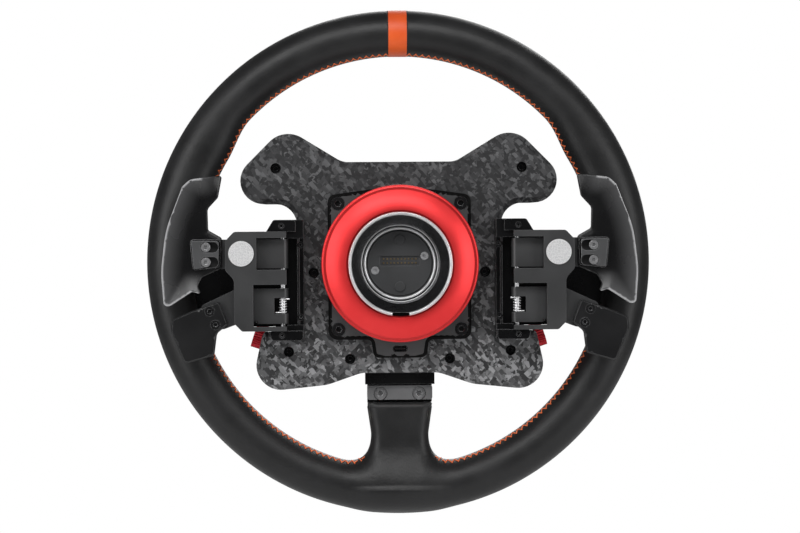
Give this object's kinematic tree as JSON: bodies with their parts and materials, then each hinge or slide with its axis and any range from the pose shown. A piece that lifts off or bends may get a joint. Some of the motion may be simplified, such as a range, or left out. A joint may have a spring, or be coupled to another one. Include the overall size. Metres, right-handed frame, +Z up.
{
  "type": "sim racing wheel",
  "caption": "Round leather sim racing wheel with a carbon shell, paddle modules and a quick-release socket.",
  "frame": {"origin": "on the wheel's axis, where the straight wall of the quick-release bore begins", "axes": "+Z up with the stripe at the top, -Y out of the quick-release bore towards the wheel base, +Y towards the driver, +X to the right seen from the back"},
  "size_m": [0.33, 0.088, 0.33],
  "materials": {
    "black_metal": "satin black anodised",
    "dark_grey_metal": "dark grey anodised, satin",
    "grey_metal": "grey anodised, satin",
    "foam": "moulded grip foam",
    "leather": "black grained leather",
    "stripe_leather": "orange leather",
    "thread": "orange thread",
    "aluminium": "milled",
    "dark_steel": "black oxide",
    "steel": "turned and polished",
    "spring_steel": "drawn wire",
    "magnet": "plated, fine speckle",
    "contacts": "gold plated",
    "carbon": "forged carbon, satin face, glossy bevel",
    "black_plastic": "fine texture",
    "grey_plastic": "fine texture",
    "panel_plastic": "fine texture",
    "button_plastic": "satin",
    "light_lens": "diffusing lens",
    "board": "solder mask",
    "ribbon": "flat ribbon",
    "red_metal": "red anodised, satin"
  },
  "bodies": {
    "wheel": {"rim_core": "black_metal", "rim_foam": "foam", "rim_leather": "leather", "centre_stripe": "stripe_leather", "rim_stitching": "thread", "hub_frame": "aluminium", "socket_bolts": "dark_steel", "spoke_bracket": "black_metal", "spoke_plate": "grey_metal", "rear_shell": "carbon", "shell_screws": "dark_steel", "front_housing": "black_plastic", "front_panel": "panel_plastic", "main_board": "board", "encoder_bodies": "black_plastic", "shift_lights": "light_lens", "hub_plate": "black_metal", "hub_screws": "dark_steel", "hub_posts": "aluminium", "usb_socket": "steel", "qr_socket": "steel", "qr_sleeve": "steel", "connector_block": "grey_plastic", "connector_pins": "contacts", "connector_screws": "steel", "ribbon_cable": "ribbon", "collar_spring": "spring_steel", "bracket_screws": "steel", "set_screws": "dark_steel", "hinge_pins": "steel", "magnets": "magnet", "left_bracket": "black_metal", "left_paddle_housing": "dark_grey_metal", "left_clutch_spring": "spring_steel", "right_bracket": "black_metal", "right_paddle_housing": "dark_grey_metal", "right_clutch_spring": "spring_steel"},
    "left_shifter": {"left_shift_arm": "dark_grey_metal", "left_shift_paddle": "black_metal", "left_shift_screws": "dark_steel"},
    "left_clutch": {"left_clutch_arm": "dark_grey_metal", "left_clutch_paddle": "black_metal", "left_clutch_screws": "dark_steel"},
    "left_roller": {"left_thumb_roller": "red_metal"},
    "left_dial": {"left_knob": "black_plastic"},
    "left_top_push": {"left_top_button": "button_plastic"},
    "left_outer_push": {"left_outer_button": "button_plastic"},
    "left_lower_push": {"left_lower_button": "button_plastic"},
    "right_shifter": {"right_shift_arm": "dark_grey_metal", "right_shift_paddle": "black_metal", "right_shift_screws": "dark_steel"},
    "right_clutch": {"right_clutch_arm": "dark_grey_metal", "right_clutch_paddle": "black_metal", "right_clutch_screws": "dark_steel"},
    "right_roller": {"right_thumb_roller": "red_metal"},
    "right_dial": {"right_knob": "black_plastic"},
    "right_top_push": {"right_top_button": "button_plastic"},
    "right_outer_push": {"right_outer_button": "button_plastic"},
    "right_lower_push": {"right_lower_button": "button_plastic"},
    "release_collar": {"qr_collar": "red_metal"}
  },
  "joints": [
    {"name": "left_shift_pull", "type": "hinge", "parent": "wheel", "child": "left_shifter", "pos_m": [-0.0748, 0.013, 0.006], "axis": [0, 0, -1], "range_deg": [0, 6], "stiffness_Nm_per_rad": 0.6, "springref_deg": -20.05},
    {"name": "left_clutch_pull", "type": "hinge", "parent": "wheel", "child": "left_clutch", "pos_m": [-0.0748, 0.013, -0.0265], "axis": [0, 0, -1], "range_deg": [0, 9], "stiffness_Nm_per_rad": 0.5, "springref_deg": -20.05, "deforming": ["left_clutch_spring"]},
    {"name": "left_roller_turn", "type": "hinge", "parent": "wheel", "child": "left_roller", "pos_m": [-0.0901, 0.055, -0.0489], "axis": [-0.9511, 0, 0.309], "continuous": true},
    {"name": "left_dial_turn", "type": "hinge", "parent": "wheel", "child": "left_dial", "pos_m": [-0.052, 0.073, -0.05], "axis": [0, 1, 0], "continuous": true},
    {"name": "left_top_press", "type": "slide", "parent": "wheel", "child": "left_top_push", "axis": [0, -1, 0], "range_m": [0, 0.0015], "stiffness_N_per_m": 700, "springref_m": -0.0012},
    {"name": "left_outer_press", "type": "slide", "parent": "wheel", "child": "left_outer_push", "axis": [0, -1, 0], "range_m": [0, 0.0015], "stiffness_N_per_m": 700, "springref_m": -0.0012},
    {"name": "left_lower_press", "type": "slide", "parent": "wheel", "child": "left_lower_push", "axis": [0, -1, 0], "range_m": [0, 0.0015], "stiffness_N_per_m": 700, "springref_m": -0.0012},
    {"name": "right_shift_pull", "type": "hinge", "parent": "wheel", "child": "right_shifter", "pos_m": [0.0748, 0.013, 0.006], "axis": [0, 0, 1], "range_deg": [0, 6], "stiffness_Nm_per_rad": 0.6, "springref_deg": -20.05},
    {"name": "right_clutch_pull", "type": "hinge", "parent": "wheel", "child": "right_clutch", "pos_m": [0.0748, 0.013, -0.0265], "axis": [0, 0, 1], "range_deg": [0, 9], "stiffness_Nm_per_rad": 0.5, "springref_deg": -20.05, "deforming": ["right_clutch_spring"]},
    {"name": "right_roller_turn", "type": "hinge", "parent": "wheel", "child": "right_roller", "pos_m": [0.0901, 0.055, -0.0489], "axis": [0.9511, 0, 0.309], "continuous": true},
    {"name": "right_dial_turn", "type": "hinge", "parent": "wheel", "child": "right_dial", "pos_m": [0.052, 0.073, -0.05], "axis": [0, 1, 0], "continuous": true},
    {"name": "right_top_press", "type": "slide", "parent": "wheel", "child": "right_top_push", "axis": [0, -1, 0], "range_m": [0, 0.0015], "stiffness_N_per_m": 700, "springref_m": -0.0012},
    {"name": "right_outer_press", "type": "slide", "parent": "wheel", "child": "right_outer_push", "axis": [0, -1, 0], "range_m": [0, 0.0015], "stiffness_N_per_m": 700, "springref_m": -0.0012},
    {"name": "right_lower_press", "type": "slide", "parent": "wheel", "child": "right_lower_push", "axis": [0, -1, 0], "range_m": [0, 0.0015], "stiffness_N_per_m": 700, "springref_m": -0.0012},
    {"name": "collar_release", "type": "slide", "parent": "wheel", "child": "release_collar", "axis": [0, 1, 0], "range_m": [0, 0.007], "stiffness_N_per_m": 2200, "springref_m": -0.004, "deforming": ["collar_spring"]}
  ]
}
